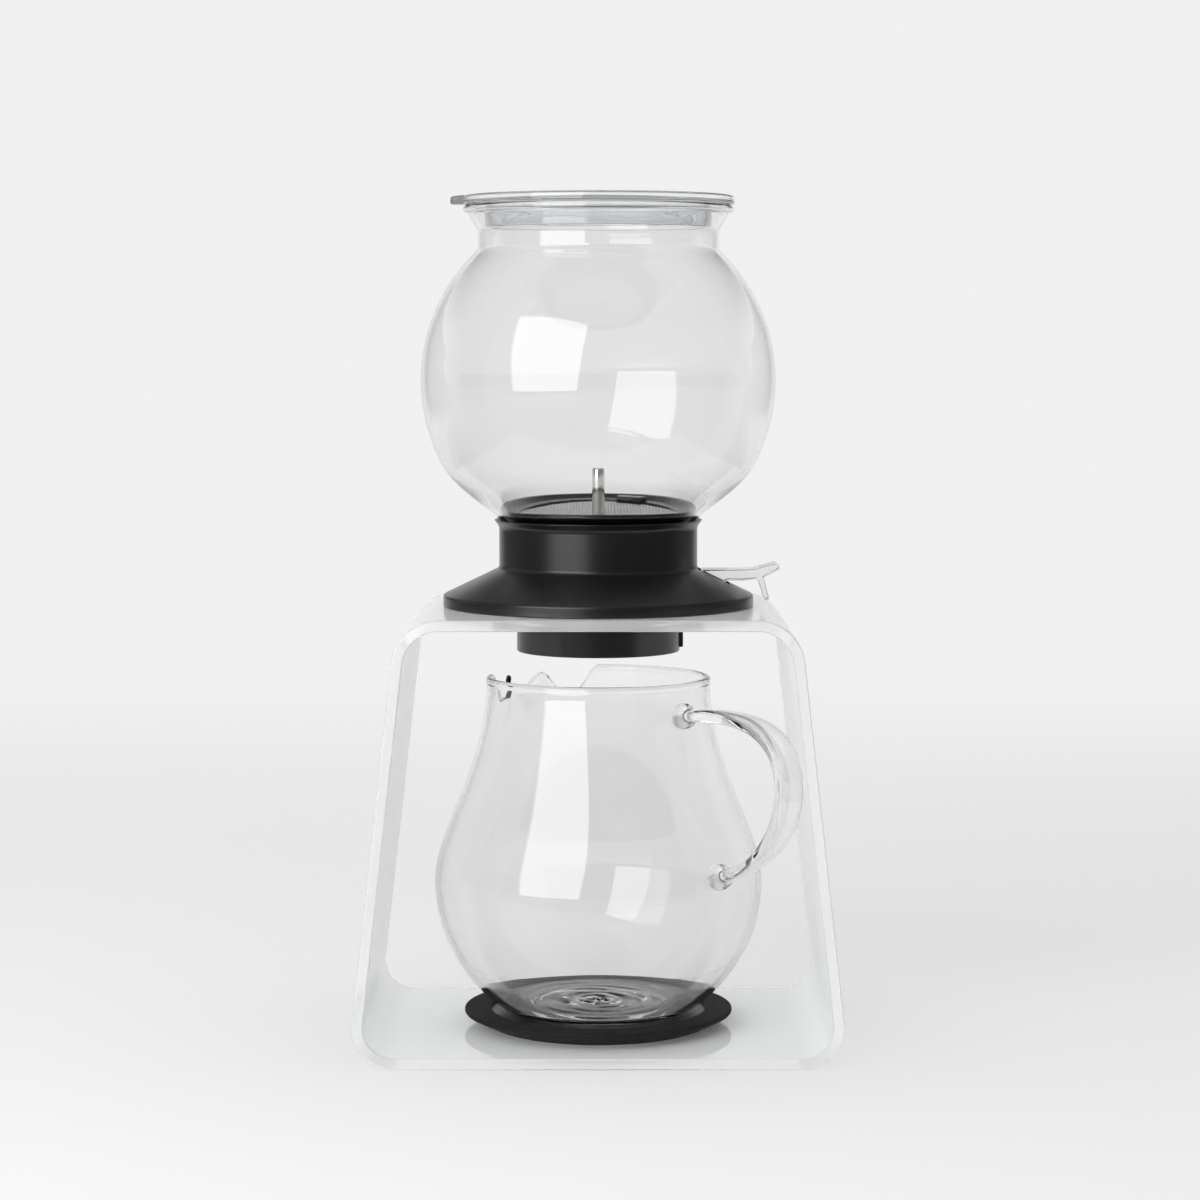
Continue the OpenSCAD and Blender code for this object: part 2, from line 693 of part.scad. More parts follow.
// ---- Strainer: steel mesh in a black dish, lifted by a steel pin ------------
strainer_z = funnel_z + seat_ring_h + rest_gap;
dish_z = base_z + base_h + dish_rise;
mesh_z = dish_z - mesh_depth;
plug_out = lower_neck_r - bowl_wall - loose_gap;
plug_in = seat_ring_r - funnel_t + 0.4;
shank_r = 1.25;
nut_r = 2.8;
nut_h = 2;

module strainer_frame() {
    color([0.07, 0.07, 0.07]) {
        rotate_extrude() polygon([
            [plug_in, strainer_z], [plug_out, strainer_z], [plug_out, mesh_z - 4.4],
            [dish_r - 0.3, dish_z - 1.6], [dish_r, dish_z - 0.8], [dish_r - 1, dish_z],
            [dish_r - 2.2, dish_z - 0.3], [mesh_r + 1.4, mesh_z + mesh_t + 0.5],
            [mesh_r + press_gap, mesh_z + mesh_t + 0.2], [mesh_r + press_gap, mesh_z],
            [plug_in, mesh_z]
        ]);
        for (turn = [65, 245]) rotate([0, 0, turn])
            translate([mesh_r - 2.4, -5.5, mesh_z + mesh_t + press_gap])
                cube([3.2, 11, mesh_depth - mesh_t - 0.4]);
    }
}

module strainer_mesh() {
    color([0.6, 0.6, 0.6]) ring(mesh_r, shank_r + press_gap, mesh_z, mesh_t);
}

module strainer_pin() {
    foot = mesh_z + mesh_t;
    color([0.75, 0.75, 0.75]) rotate_extrude() polygon([
        [0, mesh_z - nut_h - 0.5], [shank_r, mesh_z - nut_h - 0.5], [shank_r, foot],
        [pin_r, foot], [pin_r, foot + pin_h - 0.5], [pin_r - 0.5, foot + pin_h],
        [0, foot + pin_h]
    ]);
}

module pin_nut() {
    color([0.65, 0.65, 0.65]) difference() {
        translate([0, 0, mesh_z - nut_h]) cylinder(r = nut_r, h = nut_h, $fn = 6);
        translate([0, 0, mesh_z - nut_h - 1]) cylinder(r = shank_r + press_gap, h = nut_h + 2);
    }
}

// ---- Lid: clear, with a plug ring and a thumb tab ---------------------------
lid_z = bowl_z + rim_z + rest_gap;
plug_ring_r = upper_neck_r - bowl_wall - 2 * loose_gap;

module lid() {
    tab_r = lid_tab_w / 2;
    color([0.88, 0.9, 0.95, 0.4]) translate([0, 0, lid_z]) {
        rotate_extrude() polygon([
            [0, 0], [plug_ring_r - plug_wall, 0], [plug_ring_r - plug_wall, -plug_depth],
            [plug_ring_r - 0.5, -plug_depth], [plug_ring_r, -plug_depth + 0.5],
            [plug_ring_r, 0], [lid_r - 0.5, 0], [lid_r, 0.5], [lid_r, lid_t - 0.6],
            [lid_r - 0.6, lid_t], [lid_r - 4, lid_t], [lid_r - 4.6, lid_t - 0.7],
            [0, lid_t - 0.7]
        ]);
        difference() {
            translate([-(lid_r + lid_tab - tab_r), 0, 0]) cylinder(r = tab_r, h = lid_t - 0.3);
            translate([0, 0, -1]) cylinder(r = lid_r - 1, h = lid_t + 2);
        }
    }
}

stand_frame();
jug_mat();
jug_body();
jug_handle();
base_housing();
base_cover();
cover_screws();
outlet_tube();
bowl_gasket();
funnel();
valve_seat();
valve_plug();
valve_stem();
stem_washer();
stem_clip();
valve_spring();
lever();
lever_pin();
bowl();
strainer_frame();
strainer_mesh();
strainer_pin();
pin_nut();
lid();
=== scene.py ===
import bmesh
import bpy
import numpy as np
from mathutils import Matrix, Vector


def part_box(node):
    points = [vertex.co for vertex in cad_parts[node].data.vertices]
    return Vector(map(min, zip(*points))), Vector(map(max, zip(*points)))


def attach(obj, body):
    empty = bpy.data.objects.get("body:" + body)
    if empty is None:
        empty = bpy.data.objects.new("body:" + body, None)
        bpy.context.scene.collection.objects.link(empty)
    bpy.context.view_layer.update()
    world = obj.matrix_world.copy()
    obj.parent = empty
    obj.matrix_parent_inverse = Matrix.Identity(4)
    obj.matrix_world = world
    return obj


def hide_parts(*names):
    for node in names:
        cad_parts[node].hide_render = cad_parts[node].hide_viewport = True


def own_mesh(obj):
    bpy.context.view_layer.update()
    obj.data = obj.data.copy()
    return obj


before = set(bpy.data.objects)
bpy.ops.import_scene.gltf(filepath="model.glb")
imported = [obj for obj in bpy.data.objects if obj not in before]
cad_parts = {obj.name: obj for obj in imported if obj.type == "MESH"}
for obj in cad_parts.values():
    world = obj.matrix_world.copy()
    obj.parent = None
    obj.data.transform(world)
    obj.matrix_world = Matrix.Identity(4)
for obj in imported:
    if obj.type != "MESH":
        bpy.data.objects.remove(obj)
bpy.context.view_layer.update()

# Camera: a long lens a metre in front of the set and a little above its
# middle, tipped down by five degrees.
lens = bpy.data.cameras.new("camera")
lens.sensor_width = 36
lens.lens = 95.83
camera = bpy.data.objects.new("camera", lens)
camera.location = (0.0006, -1.1114, 0.24693)
camera.rotation_euler = (np.pi / 2 - 0.084222, 0, 0)
bpy.context.collection.objects.link(camera)
bpy.context.scene.camera = camera
bpy.context.scene.view_settings.view_transform = "Standard"


# Studio: one pale sheet of paper that runs under the set and curves up behind
# it. A large softbox stands at the front left, and the room lights the rest.
class Wire:
    """A node's output that takes part in sums: each operator adds one Math node."""

    def __init__(self, tree, socket):
        self.tree = tree
        self.socket = socket

    def maths(self, operation, *values):
        return self.tree.add("Math", {"operation": operation}, dict(enumerate(values)))

    def __add__(self, other):
        return self.maths("ADD", self, other)

    def __sub__(self, other):
        return self.maths("SUBTRACT", self, other)

    def __rsub__(self, other):
        return self.maths("SUBTRACT", other, self)

    def __mul__(self, other):
        return self.maths("MULTIPLY", self, other)

    __radd__ = __add__
    __rmul__ = __mul__

    def at_most(self, other):
        return self.maths("MINIMUM", self, other)

    def at_least(self, other):
        return self.maths("MAXIMUM", self, other)

    def power(self, other):
        return self.maths("POWER", self, other)

    def step(self, low, high):
        """0 up to low, 1 from high on, and an eased rise between them."""
        ends = {"Value": self, "From Min": low, "From Max": high}
        return self.tree.add("MapRange", {"interpolation_type": "SMOOTHSTEP"}, ends)


class Tree:
    """A node tree that is emptied first and then filled node by node."""

    def __init__(self, owner):
        owner.use_nodes = True
        self.nodes = owner.node_tree.nodes
        self.links = owner.node_tree.links
        self.nodes.clear()

    def add(self, kind, settings=None, values=None, out=0):
        """Adds a node, sets its settings and then its sockets, and gives one output."""
        node = self.nodes.new("ShaderNode" + kind)
        for key, value in (settings or {}).items():
            setattr(node, key, value)
        for key, value in (values or {}).items():
            if isinstance(value, Wire):
                self.links.new(value.socket, node.inputs[key])
            else:
                node.inputs[key].default_value = value
        return Wire(self, node.outputs[out]) if node.outputs else node

    def mix(self, share, first, second):
        """One colour turning into another as share goes from 0 to 1."""
        values = {0: share, 6: first, 7: second}
        return self.add("Mix", {"data_type": "RGBA"}, values, 2)

    def split(self, vector):
        """The X, Y and Z of a vector, each as a wire of its own."""
        node = self.nodes.new("ShaderNodeSeparateXYZ")
        self.links.new(vector.socket, node.inputs[0])
        return [Wire(self, output) for output in node.outputs]

    def seen(self):
        """1 for the rays that see the studio, straight on or in gloss or glass."""
        camera_ray = self.add("LightPath", out="Is Camera Ray")
        glossy_ray = self.add("LightPath", out="Is Glossy Ray")
        clear_ray = self.add("LightPath", out="Is Transmission Ray")
        return (camera_ray + glossy_ray + clear_ray).at_most(1)

    def clear(self, surface, tint=(0.96, 0.965, 0.965, 1)):
        """Gives a clear surface out, which lets the light for other things pass."""
        shadow_ray = self.add("LightPath", out="Is Shadow Ray")
        diffuse_ray = self.add("LightPath", out="Is Diffuse Ray")
        passing = self.add("BsdfTransparent", values={"Color": tint})
        unseen = (shadow_ray + diffuse_ray).at_most(1)
        both = self.add("MixShader", values={0: unseen, 1: surface, 2: passing})
        self.add("OutputMaterial", values={"Surface": both})


def grid(rows, columns, closed_rows=False, closed_columns=True):
    """Quads between the neighbours in a grid of points stored row by row."""
    i = np.arange(rows if closed_rows else rows - 1)[:, None]
    j = np.arange(columns if closed_columns else columns - 1)[None, :]
    next_i = (i + 1) % rows
    next_j = (j + 1) % columns
    corners = [i * columns + j, i * columns + next_j]
    corners += [next_i * columns + next_j, next_i * columns + j]
    return np.stack(corners, axis=-1).reshape(-1, 4)


def arc(centre, radius, start, end, steps=12):
    """Points of a circle about centre, from one angle to another in degrees."""
    turn = np.radians(np.linspace(start, end, steps + 1))
    return np.array(centre) + radius * np.column_stack([np.cos(turn), np.sin(turn)])


def paper_sheet():
    """A flat run, a quarter turn of radius bend and an upright run, carried sideways."""
    bend, reach, height, half_width = 0.9, 1.3, 0.98, 4.0
    side = np.vstack([[(-3.0, 0.0)], arc((reach, bend), bend, -90, 0, 32), [(reach + bend, height)]])
    across = np.linspace(-half_width, half_width, 9)
    points = np.empty((len(side), len(across), 3))
    points[..., 0] = across
    points[..., 1:] = side[:, None, :]
    mesh = bpy.data.meshes.new("paper")
    faces = grid(len(side), len(across), closed_columns=False)
    mesh.from_pydata(points.reshape(-1, 3), [], faces.tolist())
    mesh.shade_smooth()
    return mesh


def paper_finish():
    """Diffuse paper near the set, which melts into an even glow behind it. In gloss only a
    table's width of it is bright, so that black things keep their dark sides. Through glass
    and resin all of it is bright."""
    material = bpy.data.materials.new("paper")
    tree = Tree(material)
    x, y = tree.split(tree.add("TexCoord", out="Object"))[:2]
    aside = x.maths("ABSOLUTE", x)
    away = y.step(0.1, 1.2)
    matt = tree.add("BsdfDiffuse", values={"Color": (0.95, 0.95, 0.945, 1)})
    glow = tree.add("Emission", values={"Color": (0.875, 0.875, 0.87, 1), "Strength": 1.0})
    dark = tree.add("Emission", values={"Color": (0.1, 0.1, 0.1, 1), "Strength": 1.0})
    bright = tree.add("MixShader", values={0: away * tree.seen(), 1: matt, 2: glow})
    table = (1 - aside.step(0.33, 0.38)) * y.step(-0.29, -0.25)
    wall = (1 - aside.step(0.7, 1.3)) * y.step(0.25, 0.5)
    gloss = tree.add("LightPath", out="Is Glossy Ray")
    through = tree.add("LightPath", out="Is Transmission Ray")
    reflected = gloss * (1 - through)
    both = tree.add("MixShader", values={0: reflected * (1 - table.at_least(wall)), 1: bright, 2: dark})
    tree.add("OutputMaterial", values={"Surface": both})
    return material


def softbox(name, place, turn, size, watts):
    """A rectangular lamp at a place, turned by two angles: up from level, then round."""
    lamp = bpy.data.lights.new(name, "AREA")
    lamp.shape = "RECTANGLE"
    lamp.size, lamp.size_y = size
    lamp.energy = watts
    box = bpy.data.objects.new(name, lamp)
    box.location = place
    box.rotation_euler = (np.radians(90 + turn[0]), 0, np.radians(turn[1]))
    bpy.context.collection.objects.link(box)


def room_light():
    """A pale room, dimmer towards the camera, as gloss and glass see it. Matt things get a
    plain level of it, and the camera sees it as pale as the paper."""
    world = bpy.data.worlds.new("room")
    tree = Tree(world)
    x, y, z = tree.split(tree.add("TexCoord", out="Generated"))
    left = 1 - x.step(-0.9, 0.3)
    back = y.step(0.1, 0.6) * (1 - z.step(0.2, 0.45))
    above = z.step(0.6, 0.95)
    level = 0.12 + 0.1 * left + 0.65 * back + 0.25 * above
    straight = tree.add("LightPath", out="Is Camera Ray")
    level = level.at_least(0.86 * straight)
    shown = tree.add("Background", values={"Color": (1, 1, 0.995, 1), "Strength": level})
    plain = tree.add("Background", values={"Color": (1, 1, 1, 1), "Strength": 0.69})
    both = tree.add("MixShader", values={0: tree.seen(), 1: plain, 2: shown})
    tree.add("OutputWorld", values={"Surface": both})
    bpy.context.scene.world = world


paper = bpy.data.objects.new("paper", paper_sheet())
paper.data.materials.append(paper_finish())
bpy.context.collection.objects.link(paper)
softbox("softbox_left", (-0.802, -1.168, 0.645), (-19, -34.5), (1.25, 1.22), 15)
room_light()


# Stand: one sheet of clear resin, heated and bent into a closed loop with
# leaning legs, its edges eased and its faces finely frosted. Both plates have
# the same round hole.
MM = 0.001


def span(node):
    """The lowest and highest corner of a CAD node, in millimetres."""
    return [np.array(corner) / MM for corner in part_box(node)]


def closed_mesh(name, points, faces, merge=2e-6):
    """A mesh from points in millimetres, with those within merge metres of each other made
    one and its faces turned out."""
    mesh = bpy.data.meshes.new(name)
    places = (np.asarray(points).reshape(-1, 3) * MM).tolist()
    mesh.from_pydata(places, [], faces if isinstance(faces, list) else faces.tolist())
    work = bmesh.new()
    work.from_mesh(mesh)
    bmesh.ops.remove_doubles(work, verts=work.verts, dist=merge)
    bmesh.ops.dissolve_degenerate(work, edges=work.edges, dist=1e-6)
    bmesh.ops.recalc_face_normals(work, faces=work.faces)
    work.to_mesh(mesh)
    work.free()
    return mesh


def new_piece(name, points, faces, body, slot, nodes=(), crease=35, merge=2e-6):
    """A visible piece from points in millimetres, which rides on a body and stands in for
    CAD nodes. Edges that fold by more than the crease angle stay sharp."""
    mesh = closed_mesh(name, points, faces, merge)
    mesh.shade_smooth()
    mesh.set_sharp_from_angle(angle=np.radians(crease))
    piece = bpy.data.objects.new(name, mesh)
    bpy.context.collection.objects.link(piece)
    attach(piece, body)
    if nodes:
        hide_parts(*nodes)
    return piece


def settle(piece, crease=35):
    """Works a piece's modifiers into its mesh, for good."""
    seen = piece.evaluated_get(bpy.context.evaluated_depsgraph_get())
    mesh = bpy.data.meshes.new_from_object(seen)
    piece.modifiers.clear()
    piece.data = mesh
    mesh.shade_smooth()
    mesh.set_sharp_from_angle(angle=np.radians(crease))


def cut_away(piece, cutter_points, cutter_faces):
    """Takes a closed form's volume out of a piece."""
    cutter = bpy.data.objects.new("cutter", closed_mesh("cutter", cutter_points, cutter_faces))
    bpy.context.collection.objects.link(cutter)
    change = piece.modifiers.new("cut", "BOOLEAN")
    change.operation = "DIFFERENCE"
    change.solver = "EXACT"
    change.object = cutter
    settle(piece)
    bpy.data.objects.remove(cutter)


def even_shading(piece):
    """Shades each vertex mostly by its largest face, so that flats stay flat beside rounds."""
    even = piece.modifiers.new("even", "WEIGHTED_NORMAL")
    even.keep_sharp = True
    even.weight = 80


def rounded(corners, radius, steps=5):
    """An outline whose corners are arcs that touch both of their sides.
    A radius may be one number or one for each corner."""
    here = np.asarray(corners, float)
    before = np.roll(here, 1, axis=0) - here
    after = np.roll(here, -1, axis=0) - here
    length_before = np.linalg.norm(before, axis=1, keepdims=True)
    length_after = np.linalg.norm(after, axis=1, keepdims=True)
    before, after = before / length_before, after / length_after
    half = np.arccos(np.clip((before * after).sum(axis=1, keepdims=True), -0.9999, 0.9999)) / 2
    wanted = np.broadcast_to(np.asarray(radius, float), len(here))[:, None] / np.tan(half)
    cut = np.minimum(wanted, 0.48 * np.minimum(length_before, length_after))
    inward = (before + after) / np.linalg.norm(before + after, axis=1, keepdims=True)
    middle = here + inward * cut / np.cos(half)
    turn = np.pi - 2 * half
    share = np.linspace(0, 1, steps + 1)[None, :]
    first_part = (np.sin((1 - share) * turn) / np.sin(turn))[..., None]
    last_part = (np.sin(share * turn) / np.sin(turn))[..., None]
    first = first_part * (here + before * cut - middle)[:, None]
    last = last_part * (here + after * cut - middle)[:, None]
    return (middle[:, None] + first + last).reshape(-1, 2)


def lathe(outline, around=160, closed=True, warp=None):
    """An outline of (radius, height) turned about the upright axis.
    warp may change the radius and height of each point, given its turn."""
    turn = np.linspace(0, 2 * np.pi, around, endpoint=False)[None, :]
    rings = np.repeat(np.asarray(outline, float)[:, :, None], around, axis=2)
    radius, height = rings.transpose(1, 0, 2)
    if warp:
        radius, height = warp(radius, height, turn)
    points = np.stack([radius * np.cos(turn), radius * np.sin(turn), height], axis=-1)
    return points, grid(len(outline), around, closed_rows=closed)


sheet_t = 3.8
leg_lean = 6.5
edge_r = 0.6
hole_r = 36.8
stand_high = span("stand_frame")[1]
stand_top = stand_high[2]
half_depth = stand_high[1]
top_bend_r, foot_bend_r = 16.0, 14.5
floor_half = 84.3


def stand_path():
    """The outer face's line seen from the front: two leaning legs, two plates and four bends."""
    leg = np.radians(leg_lean)

    def bend_centre(height, radius):
        return floor_half - height * np.tan(leg) - radius / np.cos(leg), height

    foot = arc(bend_centre(foot_bend_r, foot_bend_r), foot_bend_r, -90, leg_lean, 24)
    top = arc(bend_centre(stand_top - top_bend_r, top_bend_r), top_bend_r, leg_lean, 90, 24)
    right = np.vstack([foot, top])
    left = right[::-1] * (-1, 1)
    out = np.radians(np.concatenate([np.linspace(-90, leg_lean, 25), np.linspace(leg_lean, 90, 25)]))
    face = np.column_stack([np.cos(out), np.sin(out)])
    return np.vstack([right, left]), np.vstack([face, face[::-1] * (-1, 1)])


def bent_sheet():
    """A rounded rectangle, sheet_t by the stand's depth, carried round the loop on its inner side."""
    path, face = stand_path()
    corners = [(0, -half_depth), (0, half_depth), (-sheet_t, half_depth), (-sheet_t, -half_depth)]
    section = rounded(corners, edge_r, 4)
    place = path[:, None, :] + face[:, None, :] * section[None, :, :1]
    depth = np.broadcast_to(section[None, :, 1], place.shape[:2])
    points = np.stack([place[..., 0], depth, place[..., 1]], axis=-1)
    return points, grid(len(path), len(section), closed_rows=True)


def hole_cutter(low, high):
    """A plug as wide as the hole that flares a little where it leaves either face."""
    ease = edge_r * 0.6
    spare = 2
    upper = arc((hole_r + ease, high - ease), ease, 180, 90, 5)
    lower = arc((hole_r + ease, low + ease), ease, -90, -180, 5)
    bottom = [(0, low - spare), (hole_r + ease, low - spare)]
    top = [(hole_r + ease, high + spare), (0, high + spare)]
    return lathe(np.vstack([bottom, lower, upper, top]), 192)


def resin():
    """Clear resin with a fine frosting: light comes through blurred and a little whitened."""
    material = bpy.data.materials.new("stand_resin")
    tree = Tree(material)
    place = tree.add("TexCoord", out="Object")
    grain = tree.add("TexNoise", values={"Vector": place, "Scale": 900.0, "Detail": 2.0})
    cloud = tree.add("TexNoise", values={"Vector": place, "Scale": 22.0, "Detail": 1.0})
    bump = tree.add("Bump", values={"Strength": 0.03, "Distance": 0.0002, "Height": grain})
    plastic = tree.add("BsdfPrincipled", values={
        "Base Color": (0.985, 0.987, 0.99, 1), "Roughness": 0.02 + 0.05 * cloud,
        "Transmission Weight": 1.0, "IOR": 1.47, "Normal": bump})
    milk = tree.add("BsdfDiffuse", values={"Color": (0.90, 0.905, 0.91, 1)})
    tree.clear(tree.add("MixShader", values={0: 0.3, 1: plastic, 2: milk}))
    return material


stand = new_piece("stand_loop", *bent_sheet(), "stand", "stand_resin", ["stand_frame"])
cut_away(stand, *hole_cutter(0, sheet_t))
cut_away(stand, *hole_cutter(stand_top - sheet_t, stand_top))
even_shading(stand)
stand.data.materials.append(resin())


# Mat: a moulded silicone saucer with a raised flange, a satin ring, and a plug
# that drops into the lower plate's hole. The jug stands in its glossy recess.
def silicone():
    """Black silicone: matt on the ring and smoother in the recess, with a fine mould grain."""
    material = bpy.data.materials.new("silicone_black")
    tree = Tree(material)
    place = tree.add("TexCoord", out="Object")
    x, y = tree.split(place)[:2]
    radius = (x * x + y * y).power(0.5)
    grain = tree.add("TexNoise", values={"Vector": place, "Scale": 2600.0, "Detail": 1.0})
    smear = tree.add("TexNoise", values={"Vector": place, "Scale": 60.0, "Detail": 2.0})
    bump = tree.add("Bump", values={"Strength": 0.25, "Distance": 0.00005, "Height": grain})
    rough = 0.30 + 0.38 * radius.step(0.0370, 0.0382) + 0.06 * smear
    rubber = tree.add("BsdfPrincipled", values={
        "Base Color": (0.008, 0.008, 0.0078, 1), "Roughness": rough, "Normal": bump, "IOR": 1.33})
    tree.add("OutputMaterial", values={"Surface": rubber})
    return material


mat_low, mat_high = span("jug_mat")
mat_r, mat_recess_r, mat_recess, mat_flange_t = 47.0, 37.7, 1.3, 1.6
mat_foot = sheet_t + 0.05
mat_plug_r, mat_foot_r = 36.3, 38.3
mat_top = mat_high[2]
mat_corners = [
    (0, mat_low[2]), (mat_plug_r, mat_low[2]), (mat_plug_r, mat_foot), (mat_foot_r, mat_foot),
    (mat_r - 0.3, mat_top - mat_flange_t), (mat_r, mat_top - mat_flange_t + 0.4), (mat_r, mat_top),
    (mat_recess_r, mat_top), (mat_recess_r, mat_top - mat_recess), (0, mat_top - mat_recess)]
mat_radii = (0, 0.6, 0.3, 0.4, 0.3, 0.3, 0.7, 0.5, 0.5, 0)
mat_form = lathe(rounded(mat_corners, mat_radii), 192)
mat = new_piece("mat", *mat_form, "mat", "silicone_black", ["jug_mat"])
rubber = silicone()
mat.data.materials.append(rubber)


# Jug: a pear blown from clear borosilicate glass. Its foot is thick and a
# little rippled, and the rim dips on both sides of a lip that was pulled out
# with a tool while the glass was soft.
def cubic_at(a, b, c, d, t):
    """Points at the shares t of a cubic curve from a to d, drawn towards b and c."""
    a, b, c, d = (np.asarray(point, float) for point in (a, b, c, d))
    return (1 - t) ** 3 * a + 3 * (1 - t) ** 2 * t * b + 3 * (1 - t) * t ** 2 * c + t ** 3 * d


def cubic(a, b, c, d, steps=12):
    """Even steps along the same kind of curve."""
    return cubic_at(a, b, c, d, np.linspace(0, 1, steps + 1)[:, None])


def drawn_in(line, depth):
    """A line moved to its left by depth, which may be one number or one for each point."""
    along = np.gradient(line, axis=0)
    along /= np.linalg.norm(along, axis=1, keepdims=True)
    return line + np.column_stack([-along[:, 1], along[:, 0]]) * np.reshape(depth, (-1, 1))


jug_wall, jug_base_t = 2.0, 3.4
jug_h, mouth_r, belly_r, belly_h = 118.3, 39.0, 57.4, 46.5
jug_z = mat_top - mat_recess + 0.05
lip_turn = np.radians(131)


def jug_side():
    """The wall's outer line from the heel of the foot to the mouth."""
    heel, belly, mouth = np.array([(35.2, 2.6), (belly_r, belly_h), (mouth_r, jug_h - 3)])
    return np.vstack([
        cubic(heel, heel + (4.5, 3.2), belly - (0, 26), belly, 36),
        cubic(belly, belly + (0, 17.6), mouth + (0.9, -31.4), mouth, 44)[1:],
        [(mouth_r, jug_h - 2.4)]])


def jug_outline():
    """Up the outside from the middle of the foot, over the rim and down inside."""
    outside = jug_side()
    inside = drawn_in(outside, jug_wall)[::-1]
    inside = inside[inside[:, 1] > jug_base_t + 2.2]
    foot = np.vstack([[(0, 0.8), (21.5, 0.8)], arc((24.0, 1.2), 1.2, -130, -75, 4), [(33.2, 1.5)]])
    rim = arc((mouth_r - jug_wall / 2, jug_h - 1.25), 1.25, -20, 200, 14)
    hollow = cubic(inside[-1], inside[-1] - (2.4, 1.8), (34, jug_base_t), (29, jug_base_t), 8)[1:]
    floor = [(r, jug_base_t) for r in np.linspace(28.4, 0, 24)]
    return np.vstack([foot, outside, rim, inside, hollow, floor])


def bell(offset, width):
    """1 at no offset, easing down to 0 at the width."""
    return np.cos(np.clip(np.abs(offset) / width, 0, 1) * np.pi / 2) ** 2


def eased(x, stops, levels):
    """Runs through the levels at their stops, level at each of them and eased between."""
    place = np.clip(np.searchsorted(stops, x) - 1, 0, len(stops) - 2)
    stops, levels = np.asarray(stops, float), np.asarray(levels, float)
    share = np.clip((x - stops[place]) / (stops[place + 1] - stops[place]), 0, 1)
    return levels[place] + (levels[place + 1] - levels[place]) * share ** 2 * (3 - 2 * share)


def jug_warp(radius, height, turn):
    """Pulls the lip out with a trough between two shoulders, dips the rim on both sides
    of them and ripples the floor."""
    aside = np.degrees(np.angle(np.exp(1j * (turn - lip_turn))))
    upper = np.clip((height - (jug_h - 28)) / 28, 0, 1)
    pull = 6.5 * bell(aside, 20) * upper ** 2.4
    drop = eased(np.abs(aside), [0, 11, 21, 28, 41, 180], [10.5, 2.5, 9.5, 9.5, 0, 0]) * upper ** 1.6
    inner = np.clip(1 - radius / 30, 0, 1) * (height > jug_base_t - 1) * (height < jug_base_t + 1)
    rings = 0.24 * np.sin(radius * 1.2 + 1.4 * np.sin(2 * turn))
    folds = 0.16 * np.sin(3 * turn + radius * 0.45)
    return radius + pull, height - drop + inner ** 0.3 * (rings + folds)


def clear_glass():
    """Borosilicate: colourless, polished by the flame, with faint drawn waves."""
    material = bpy.data.materials.new("glass_clear")
    tree = Tree(material)
    place = tree.add("TexCoord", out="Object")
    wave = tree.add("TexNoise", values={"Vector": place, "Scale": 14.0, "Detail": 0.0})
    bump = tree.add("Bump", values={"Strength": 0.1, "Distance": 0.0006, "Height": wave})
    glass = tree.add("BsdfPrincipled", values={
        "Base Color": (0.955, 0.96, 0.957, 1), "Roughness": 0.0,
        "Transmission Weight": 1.0, "IOR": 1.473, "Normal": bump})
    tree.clear(glass)
    return material


glass = clear_glass()
jug_points, jug_faces = lathe(jug_outline(), 240, False, jug_warp)
jug = new_piece("jug", jug_points + (0, 0, jug_z), jug_faces, "jug", "glass_clear", ["jug_body"])
jug.data.materials.append(glass)


# Jug handle: a flat strap of the same glass, drawn and bent hot, with a round
# weld at each end where it was melted on to the jug.
handle_turn = np.radians(-45)
strap_w, strap_t, strap_neck_w, weld_r, weld_gap = 12.2, 4.4, 4.6, 4.5, 0.1
bow_r, bow_z = 89.2, 87.0


def jug_r(height):
    """The radius of the jug's outer face at a height."""
    line = jug_side()
    return np.interp(height, line[:, 1], line[:, 0])


upper_weld = np.array([jug_r(107.2), 107.2])
lower_weld = np.array([jug_r(53.6), 53.6])


def handle_path():
    """Two cubic curves from weld to weld, with rings that crowd towards the welds."""
    share = np.linspace(0, 1, 61)[:, None] ** 1.5
    bow = np.array([bow_r, bow_z])
    upper = cubic_at(upper_weld, upper_weld + (26, 4), (bow_r, upper_weld[1] + 1.8), bow, share)
    lower = cubic_at(bow, bow - (0, 17.5), lower_weld + (18.5, 4.5), lower_weld, 1 - share[::-1])
    return np.vstack([upper, lower[1:]])


